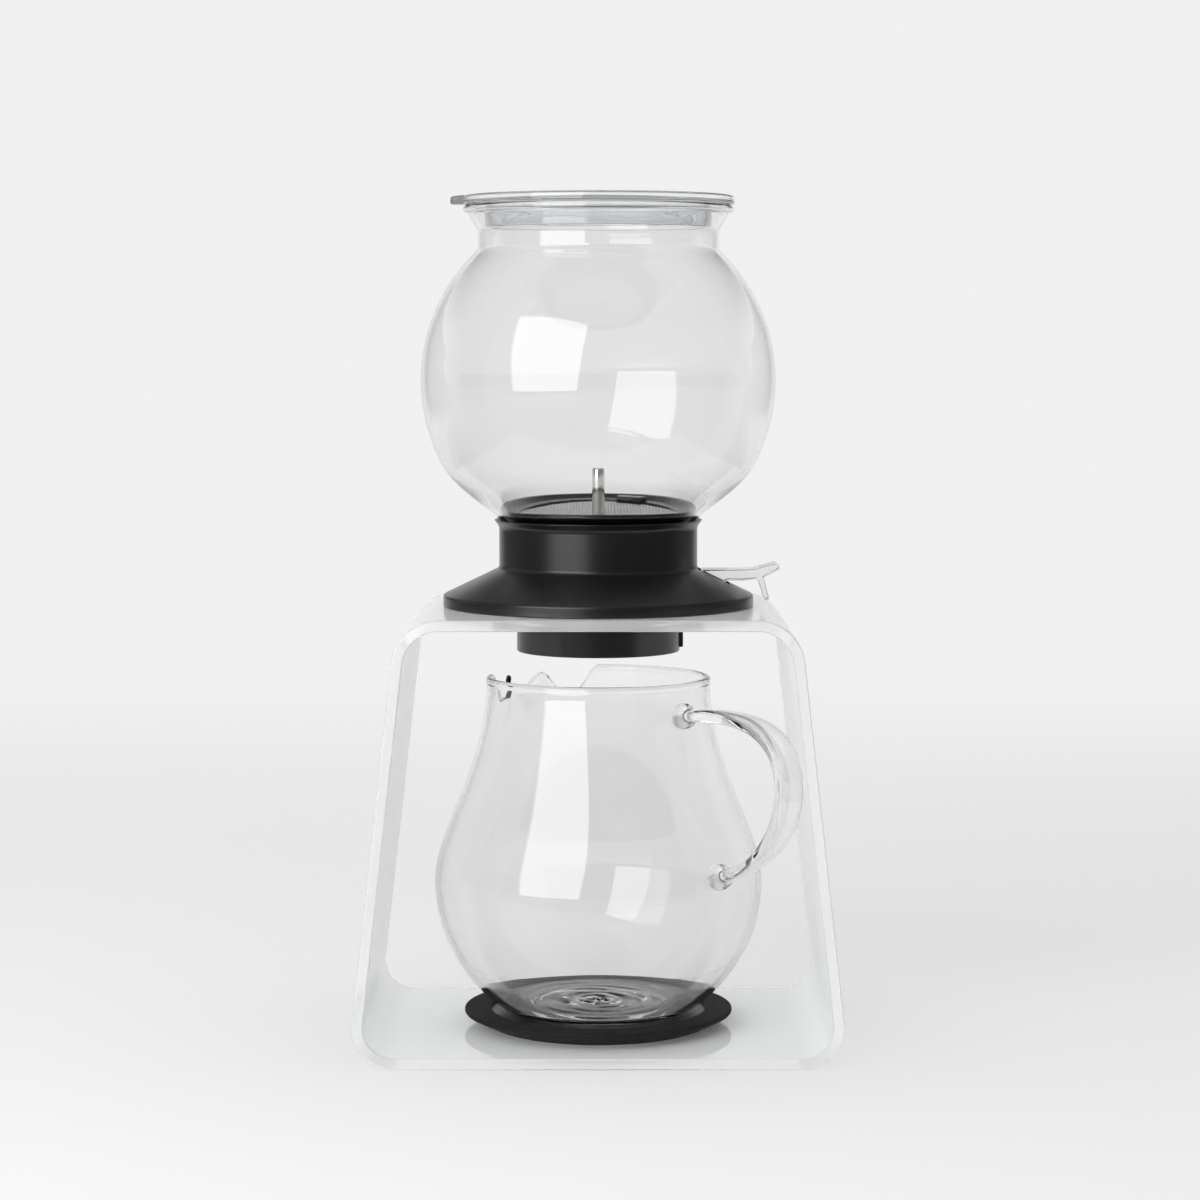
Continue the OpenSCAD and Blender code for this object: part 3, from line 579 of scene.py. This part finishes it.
def handle_strap():
    """A section carried along the path: round at a weld, slim beside it and a flat oval at the
    bow. It stops just short of the jug's wall."""
    path = handle_path()
    along = np.gradient(path, axis=0)
    along /= np.linalg.norm(along, axis=1, keepdims=True)
    normal = np.column_stack([-along[:, 1], along[:, 0]])
    gap = np.minimum(np.linalg.norm(path - path[0], axis=1), np.linalg.norm(path - path[-1], axis=1))
    ball = np.sqrt(np.clip(weld_r ** 2 - (gap - 1.4) ** 2, 0, None))
    broad = strap_neck_w + (strap_w - strap_neck_w) * np.clip(gap / 30, 0, 1) ** 0.8
    half_w = (ball ** 6 + (broad / 2) ** 6) ** (1 / 6)
    half_t = (ball ** 6 + (strap_t / 2 * (0.82 + 0.18 * np.clip(gap / 20, 0, 1))) ** 6) ** (1 / 6)
    power = 1 - 0.36 * np.clip(gap / 12, 0, 1)
    turn = np.linspace(0, 2 * np.pi, 40, endpoint=False)[None, :]

    def swell(v):
        return np.sign(v) * np.abs(v) ** power[:, None]

    aside = half_w[:, None] * swell(np.cos(turn))
    lift = half_t[:, None] * swell(np.sin(turn))
    out = path[:, :1] + lift * normal[:, :1]
    up = path[:, 1:] + lift * normal[:, 1:]
    points = np.stack([out, aside, up], axis=-1)
    caps = [np.broadcast_to(points[end].mean(axis=0), points[:1].shape) for end in (0, -1)]
    points = np.concatenate([caps[0], points, caps[1]])
    x, y, z = np.moveaxis(points, -1, 0)
    wall = np.sqrt(jug_r(z) ** 2 - y ** 2)
    x = np.maximum(x, wall + weld_gap)
    cos, sin = np.cos(handle_turn), np.sin(handle_turn)
    points = np.stack([x * cos - y * sin, x * sin + y * cos, z + jug_z], axis=-1)
    return points, grid(len(points), points.shape[1])


handle = new_piece("jug_handle_strap", *handle_strap(), "jug", "glass_clear", ["jug_handle"])
handle.data.materials.append(glass)


# Base: one black moulding, a collar that holds the bowl on a wide sloping
# skirt, satin from its mould and open at the right for the lever.
base_z = stand_top + 0.05
skirt_r, skirt_edge_h, collar_r, collar_foot_h, base_h = 54.0, 4.0, 34.5, 13.4, 30.2
lip_flare, base_wall, lever_w, pivot_x = 1.8, 2.2, 12.0, 33.0
bore_r = collar_r - base_wall
slot_half = lever_w / 2 + 0.4
slot_in, slot_out = pivot_x - 0.5, pivot_x + 12.8


def black_plastic(name, gloss):
    """Black moulded plastic: satin, with a fine spark-eroded grain and slight uneven gloss."""
    material = bpy.data.materials.new(name)
    tree = Tree(material)
    place = tree.add("TexCoord", out="Object")
    grain = tree.add("TexNoise", values={"Vector": place, "Scale": 3200.0, "Detail": 2.0})
    cloud = tree.add("TexNoise", values={"Vector": place, "Scale": 35.0, "Detail": 3.0})
    bump = tree.add("Bump", values={"Strength": 0.22, "Distance": 0.00004, "Height": grain})
    tint = tree.mix(cloud, (0.0045, 0.0043, 0.0040, 1), (0.0065, 0.0062, 0.0058, 1))
    plastic = tree.add("BsdfPrincipled", values={
        "Base Color": tint, "Roughness": gloss + 0.07 * cloud, "Normal": bump, "IOR": 1.6})
    tree.add("OutputMaterial", values={"Surface": plastic})
    return material


def base_shell():
    """The collar's and skirt's outline with the ledge that carries the funnel, turned."""
    roof = collar_foot_h - base_wall * 1.14
    ledge = collar_foot_h + 1
    corners = [
        (skirt_r, 0), (skirt_r, skirt_edge_h), (collar_r, collar_foot_h), (collar_r, base_h - 2.4),
        (collar_r + lip_flare, base_h), (collar_r + lip_flare - 0.9, base_h), (bore_r, base_h - 5),
        (bore_r, ledge), (bore_r - 2, ledge), (bore_r - 2, roof), (collar_r, roof),
        (skirt_r - base_wall, skirt_edge_h - base_wall / 2), (skirt_r - base_wall, 0)]
    radii = (0.4, 1.1, 1.6, 3.0, 0.35, 0.3, 0.8, 0.2, 0.3, 0.3, 0.5, 0.5, 0.3)
    return lathe(rounded(corners, radii, 6) + (0, base_z), 256)


def block(low, high):
    """The corners and sides of an upright box."""
    x, y, z = (np.array([low[i], high[i]]) for i in range(3))
    points = np.stack(np.meshgrid(x, y, z, indexing="ij"), axis=-1).reshape(-1, 3)
    sides = [(0, 1, 3, 2), (4, 6, 7, 5), (0, 4, 5, 1), (2, 3, 7, 6), (0, 2, 6, 4), (1, 5, 7, 3)]
    return points, np.array(sides)


satin = black_plastic("plastic_black", 0.26)
base = new_piece("base_shell", *base_shell(), "dripper", "plastic_black", ["base_housing"])
slot_low = (slot_in, -slot_half, base_z + 0.6)
slot_high = (slot_out, slot_half, base_z + collar_foot_h - 0.1)
cut_away(base, *block(slot_low, slot_high))
even_shading(base)
base.data.materials.append(satin)


# Outlet: the black tube under the base, with one key rib on its right side.
outlet_low, outlet_high = span("outlet_tube")
outlet_r, outlet_wall, flange_w, flange_t, key_w = 28.4, 1.9, 2.6, 1.4, 4.0
outlet_top, bore = outlet_high[2], outlet_r - outlet_wall
flange_r, flange_z = outlet_r + flange_w, outlet_top - flange_t
outlet_corners = [
    (outlet_r, outlet_low[2]), (outlet_r, flange_z), (flange_r, flange_z),
    (flange_r, outlet_top), (bore, outlet_top), (bore, outlet_low[2])]
outlet_form = lathe(rounded(outlet_corners, (0.5, 0.2, 0.3, 0.3, 0.3, 0.5)), 192)
outlet = new_piece("outlet", *outlet_form, "dripper", "plastic_black", ["outlet_tube"])
outlet.data.materials.append(satin)
key_low = (outlet_r - 0.9, -key_w / 2, outlet_low[2] + 1.3)
key_high = (outlet_r + 1.2, key_w / 2, stand_top - 0.4)
rib = new_piece("outlet_rib", *block(key_low, key_high), "dripper", "plastic_black")
rib_edge = rib.modifiers.new("edge", "BEVEL")
rib_edge.width = 0.35 * MM
rib_edge.segments = 3
rib.data.materials.append(satin)


# Lever: clear moulded plastic with a fork under the valve, a thumb plate
# outside the base, and a foot that stops on the stand.
lever_reach = 63.3
foot_x = (skirt_r + lever_reach) / 2
pivot_h, lever_top, prong_h, arm_over = 7.3, 12.9, 1.3, 4.5
crook_x = bore - 0.3


def lever_slab():
    """The lever's side view, with its foot, as an even slab across its width."""
    under = [
        (-4, prong_h - 2.4), (8, prong_h - 2.4), (crook_x - 6, prong_h - 0.6), (crook_x, arm_over),
        (pivot_x + 2.8, arm_over), (pivot_x + 7, arm_over + 1.7), (slot_out - 0.8, lever_top - 3.7)]
    foot = [
        (slot_out + 4.2, lever_top - 3.8), (foot_x - 3.3, lever_top - 3.3), (foot_x - 0.8, 2.1),
        (foot_x + 0.9, 2.4), (foot_x - 1.2, lever_top - 2.7)]
    thumb_plate = [
        (lever_reach, lever_top + 0.2), (lever_reach - 1, lever_top + 2.4),
        (lever_reach - 5.7, lever_top + 1.2), (lever_reach - 8.8, lever_top + 0.3),
        (lever_reach - 12.7, lever_top)]
    over = [
        (pivot_x + 3.4, lever_top), (pivot_x + 1.2, pivot_h + 3.5), (pivot_x - 2, pivot_h + 2.4),
        (crook_x - 1, pivot_h - 0.3), (18, prong_h + 2.1), (8, prong_h), (-4, prong_h)]
    line = rounded(under + foot + thumb_plate + over, 0.9, 3)
    across = np.array([-lever_w / 2, lever_w / 2])
    points = np.empty((2, len(line), 3))
    points[..., 0] = line[:, 0]
    points[..., 1] = across[:, None]
    points[..., 2] = line[:, 1] + stand_top
    count = len(line)
    ends = [list(range(count)), list(range(2 * count - 1, count - 1, -1))]
    return points, grid(2, count).tolist() + ends


def clear_plastic(name, tint, rough, haze):
    """Clear moulded plastic: a slight tint where it is thick, flow marks and a trace of haze."""
    material = bpy.data.materials.new(name)
    tree = Tree(material)
    place = tree.add("TexCoord", out="Object")
    flow = tree.add("TexNoise", values={"Vector": place, "Scale": 30.0, "Detail": 1.0})
    bump = tree.add("Bump", values={"Strength": 0.08, "Distance": 0.0003, "Height": flow})
    plastic = tree.add("BsdfPrincipled", values={
        "Base Color": tint, "Roughness": rough, "Transmission Weight": 1.0, "IOR": 1.52, "Normal": bump})
    milk = tree.add("BsdfDiffuse", values={"Color": tint})
    tree.clear(tree.add("MixShader", values={0: haze, 1: plastic, 2: milk}))
    return material


lever = new_piece("lever_plate", *lever_slab(), "lever", "plastic_clear", ["lever"], merge=1e-5)
fork_half, fork_reach = 3.7, 5
fork_low = (-fork_reach, -fork_half, stand_top - 3)
fork_high = (fork_reach, fork_half, stand_top + 4)
cut_away(lever, *block(fork_low, fork_high))
lever_edge = lever.modifiers.new("edge", "BEVEL")
lever_edge.width = 0.45 * MM
lever_edge.segments = 3
lever_edge.limit_method = "ANGLE"
lever_edge.angle_limit = np.radians(50)
settle(lever)
even_shading(lever)
lever.data.materials.append(clear_plastic("lever_clear", (0.86, 0.875, 0.88, 1), 0.04, 0.1))


# Bowl: a globe blown from clear glass, with a lower neck that plugs into the
# base, and a short upper neck that flares to a flame-polished rim.
bowl_low, bowl_high = span("bowl")
bowl_r, bowl_wall, lower_neck_r, upper_neck_r, rim_r = 61.54, 1.9, 30.5, 41.6, 46.8
upper_neck_z = 46.0
rim_z = upper_neck_z + 14.4
bowl_z = bowl_high[2] - rim_z


def bowl_side():
    """The wall's outer line from foot to rim about the globe's centre."""
    low_turn, high_turn = np.radians(-28), np.radians(45)
    low = bowl_r * np.array([np.cos(low_turn), np.sin(low_turn)])
    high = bowl_r * np.array([np.cos(high_turn), np.sin(high_turn)])
    foot = bowl_low[2] - bowl_z
    flare = np.array([rim_r - 1.9, rim_z - 2.6])
    low_pull = low + 14 * np.array([np.sin(low_turn), -np.cos(low_turn)])
    high_pull = high + 3 * np.array([-np.sin(high_turn), np.cos(high_turn)])
    return np.vstack([
        [(lower_neck_r, foot + 1)],
        cubic((lower_neck_r, foot + 5.6), (lower_neck_r, foot + 14.1), low_pull, low, 28),
        arc((0, 0), bowl_r, -28, 45, 64)[1:],
        cubic(high, high_pull, (upper_neck_r, upper_neck_z), (upper_neck_r, upper_neck_z + 2), 10)[1:],
        cubic((upper_neck_r, rim_z - 10), (upper_neck_r, rim_z - 7), flare - (0.6, 3), flare, 12)])


def bowl_outline():
    """Up the outside, over the rolled rim, down inside and round the foot's edge.
    The wall is thickest low in the curve between the globe and the lower neck."""
    outside = bowl_side()
    wall = bowl_wall + 0.25 * bell(outside[:, 1] + bowl_z - 185, 13)
    rim = arc((rim_r - 1.4, rim_z - 1.4), 1.4, -40, 190, 16)
    half = bowl_wall / 2
    foot = arc((lower_neck_r - half, bowl_low[2] - bowl_z + half), half, 180, 360, 8)[1:-1]
    return np.vstack([outside, rim, drawn_in(outside, wall)[::-1], foot]) + (0, bowl_z)


bowl = new_piece("bowl_globe", *lathe(bowl_outline(), 256), "bowl", "glass_clear", ["bowl"])
bowl.data.materials.append(glass)


# Strainer: a black dish with woven steel wire moulded into its floor. A steel
# pin through the middle lifts it out.
dish_low, dish_high = span("strainer_frame")
mesh_low, mesh_high = span("strainer_mesh")
dish_z, mesh_z, mesh_r, wire_top = dish_high[2], mesh_low[2], 28.4, mesh_high[2]
plug_out, plug_in, dish_r = 28.35, 26.4, 34.3
dish_corners = [
    (plug_in, dish_low[2]), (plug_out, dish_low[2]), (plug_out, mesh_z - 3.0), (dish_r, dish_z - 1.4),
    (dish_r, dish_z), (dish_r - 2.2, dish_z), (mesh_r + 1.2, wire_top + 0.35),
    (mesh_r - 1.2, wire_top + 0.25), (mesh_r - 1.2, mesh_z - 0.6), (plug_in, mesh_z - 0.6)]
dish_radii = (0.3, 0.3, 2.0, 0.7, 0.8, 0.8, 1.2, 0.3, 0.3, 0.3)
dish_form = lathe(rounded(dish_corners, dish_radii), 192)
dish = new_piece("strainer_dish", *dish_form, "strainer", "plastic_black", ["strainer_frame"])
glossy = black_plastic("plastic_black_gloss", 0.16)
dish.data.materials.append(glossy)


def strainer_tabs():
    """Two raised bosses on the dish, each a block bent round the axis, bevelled afterwards."""
    turn = np.radians(np.array([65, 245])[:, None] + np.linspace(-11, 11, 9)[None, :])
    top = dish_z - mesh_z - 0.1
    inner, outer, foot = mesh_r - 2.6, mesh_r + 1.6, 0.35
    section = np.array([(inner, foot), (outer, foot), (outer, top), (inner, top)])
    radius = section[None, None, :, 0]
    height = np.broadcast_to(section[None, None, :, 1] + mesh_z, (2, 9, 4))
    turn = turn[..., None]
    points = np.stack([radius * np.cos(turn), radius * np.sin(turn), height], axis=-1)
    band = grid(9, 4)
    faces = [band + 36 * tab for tab in (0, 1)]
    ends = np.array([(0, 1, 2, 3), (35, 34, 33, 32)])
    return points, np.vstack(faces + [ends, ends + 36])


tabs = new_piece("strainer_tabs", *strainer_tabs(), "strainer", "plastic_black")
tab_edge = tabs.modifiers.new("edge", "BEVEL")
tab_edge.width = 0.4 * MM
tab_edge.segments = 3
tab_edge.limit_method = "ANGLE"
tabs.data.materials.append(glossy)


def woven_wire(pitch=0.8, wire_r=0.15, wave=0.09):
    """Wires both ways over a disc; each passes over one and under the next of the others.
    Its height is a cosine of the distance along it, and it narrows to nothing at both ends."""
    count = int(mesh_r / pitch)
    offset = (np.arange(-count, count) + 0.5) * pitch
    half = np.sqrt(mesh_r ** 2 - offset ** 2)[:, None]
    share = np.linspace(-1, 1, 4 * count + 3)[None, :]
    along = half * share
    turn = np.linspace(0, 2 * np.pi, 4, endpoint=False) + np.pi / 4
    side = np.where(np.arange(len(offset)) % 2, 1.0, -1.0)[:, None]
    height = side * wave * np.cos(np.pi * (along / pitch - 0.5))
    thick = (wire_r * (np.abs(share) < 0.999))[..., None]
    across = offset[:, None, None] + thick * np.cos(turn)
    up = height[..., None] + thick * np.sin(turn)
    along = np.broadcast_to(along[..., None], up.shape)
    first = np.stack([along, across, up], axis=-1)
    second = np.stack([across, along, 2 * thick * np.sin(turn) - up], axis=-1)
    bias = np.radians(45)
    points = np.concatenate([first, second]).reshape(-1, 3)
    x = points[:, 0] * np.cos(bias) - points[:, 1] * np.sin(bias)
    y = points[:, 0] * np.sin(bias) + points[:, 1] * np.cos(bias)
    rows = share.shape[1]
    tube = grid(rows, 4)
    tubes = tube[None] + (np.arange(2 * len(offset)) * rows * 4)[:, None, None]
    return np.column_stack([x, y, points[:, 2] + mesh_z + 0.2]), tubes.reshape(-1, 4)


def steel(name, tint, rough, metallic=1.0):
    """Stainless steel with a fine turned grain. Fine wire is partly matt."""
    material = bpy.data.materials.new(name)
    tree = Tree(material)
    place = tree.add("TexCoord", out="Object")
    turned = tree.add("Mapping", values={"Vector": place, "Scale": (120.0, 120.0, 5200.0)})
    grain = tree.add("TexNoise", values={"Vector": turned, "Scale": 1.0, "Detail": 2.0})
    metal = tree.add("BsdfPrincipled", values={
        "Base Color": tint, "Metallic": metallic, "Roughness": rough + 0.1 * grain})
    tree.add("OutputMaterial", values={"Surface": metal})
    return material


polished = steel("steel", (0.70, 0.69, 0.67, 1), 0.1)
weave = new_piece(
    "strainer_weave", *woven_wire(), "strainer", "steel_mesh", ["strainer_mesh"], crease=180)
weave.data.materials.append(steel("steel_mesh", (0.85, 0.85, 0.84, 1), 0.38, 0.7))
pin_low, pin_high = span("strainer_pin")
pin_r, shank_r = 2.2, 1.25
pin_corners = [
    (0, pin_low[2]), (shank_r, pin_low[2]), (shank_r, wire_top), (pin_r, wire_top),
    (pin_r, pin_high[2] - 0.5), (pin_r - 0.5, pin_high[2]), (0, pin_high[2])]
pin_form = lathe(rounded(pin_corners, (0, 0.15, 0.1, 0.15, 0.12, 0.12, 0), 3), 64)
pin = new_piece("lifting_pin", *pin_form, "strainer", "steel", ["strainer_pin"])
pin.data.materials.append(polished)


# Lid: clear moulded plastic with a faint blue cast: a flange with a raised
# edge, a plug ring that drops into the neck, and a thumb tab at the left.
lid_high = span("lid")[1]
lid_r, lid_t, plug_depth, plug_wall, lid_tab, lid_tab_w = 47.2, 3.2, 7.4, 1.8, 3.9, 16.0
lid_z = lid_high[2] - lid_t
plug_ring_r = upper_neck_r - bowl_wall - 0.5


def lid_warp(radius, height, turn):
    """Stretches the flange's edge out to a round thumb tab at the left."""
    tab_r = lid_tab_w / 2
    middle = lid_r + lid_tab - tab_r
    aside = np.angle(np.exp(1j * (turn - np.pi)))
    across = middle * np.sin(aside)
    reach = middle * np.cos(aside) + np.sqrt(np.clip(tab_r ** 2 - across ** 2, 0, None))
    reach = np.where((np.abs(across) < tab_r) & (np.abs(aside) < 1), reach, 0)
    edge = (np.maximum(reach, 0) ** 24 + lid_r ** 24) ** (1 / 24) - lid_r
    edge = np.minimum(edge, lid_tab)
    share = np.clip((radius - (lid_r - 3)) / 3, 0, 1)
    return radius + edge * share, height


lid_corners = [
    (0, lid_z), (plug_ring_r - plug_wall, lid_z), (plug_ring_r - plug_wall, lid_z - plug_depth),
    (plug_ring_r, lid_z - plug_depth), (plug_ring_r, lid_z), (lid_r, lid_z), (lid_r, lid_z + lid_t),
    (lid_r - 4, lid_z + lid_t), (lid_r - 4.8, lid_z + lid_t - 0.7), (0, lid_z + lid_t - 0.7)]
lid_radii = (0, 0.8, 0.5, 0.6, 0.5, 0.7, 0.9, 0.6, 0.6, 0)
lid_form = lathe(rounded(lid_corners, lid_radii), 256, warp=lid_warp)
lid = new_piece("lid_plate", *lid_form, "lid", "plastic_clear", ["lid"])
lid.data.materials.append(clear_plastic("lid_clear", (0.965, 0.97, 0.99, 1), 0.0, 0.06))


# Return spring: a steel wire coiled round the stem between the funnel and the
# washer, its last turns closed. It is coiled at one length here, though on the
# dripper it shortens as the lever lifts the stem.
spring_low, spring_high = span("valve_spring")
spring_wire, spring_turns, valve_rise = 0.6, 5, 2.9
spring_length = spring_high[2] - spring_low[2]


def spring_coil():
    """A round wire carried up a helix whose pitch narrows towards both ends."""
    share = np.linspace(0, 1, 32 * spring_turns + 1)[:, None]
    turn = 2 * np.pi * spring_turns * share
    around = np.linspace(0, 2 * np.pi, 10, endpoint=False)[None, :]
    wire = spring_wire / 2 * ((share > 0) & (share < 1))
    radius = spring_high[0] - spring_wire / 2 + wire * np.cos(around)
    rise = share - 0.4 * np.sin(2 * np.pi * share) / (2 * np.pi)
    middle = spring_low[2] + spring_wire / 2 + (spring_length - spring_wire) * rise
    height = middle + wire * np.sin(around)
    points = np.stack([radius * np.cos(turn), radius * np.sin(turn), height], axis=-1)
    return points, grid(len(share), 10)


spring = new_piece("return_spring", *spring_coil(), "dripper", "steel", ["valve_spring"])
spring.data.materials.append(polished)
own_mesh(spring)


# Works inside the base: black cover and funnel, pale silicone seat and plug,
# black gasket, and bright steel for what the lever lifts.
pale = bpy.data.materials.new("silicone_pale")
pale_tree = Tree(pale)
pale_place = pale_tree.add("TexCoord", out="Object")
pale_cloud = pale_tree.add("TexNoise", values={"Vector": pale_place, "Scale": 400.0, "Detail": 1.0})
pale_rubber = pale_tree.add("BsdfPrincipled", values={
    "Base Color": pale_tree.mix(pale_cloud, (0.60, 0.60, 0.57, 1), (0.66, 0.66, 0.63, 1)),
    "Roughness": 0.45 + 0.1 * pale_cloud})
pale_tree.add("OutputMaterial", values={"Surface": pale_rubber})
dressed = {
    "base_cover": satin, "funnel": satin, "bowl_gasket": rubber, "valve_seat": pale, "valve_plug": pale,
    "valve_stem": polished, "stem_washer": polished, "stem_clip": polished,
    "lever_pin": polished, "cover_screws": polished, "pin_nut": polished}
for name, finish in dressed.items():
    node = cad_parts[name]
    node.data.materials.clear()
    node.data.materials.append(finish)

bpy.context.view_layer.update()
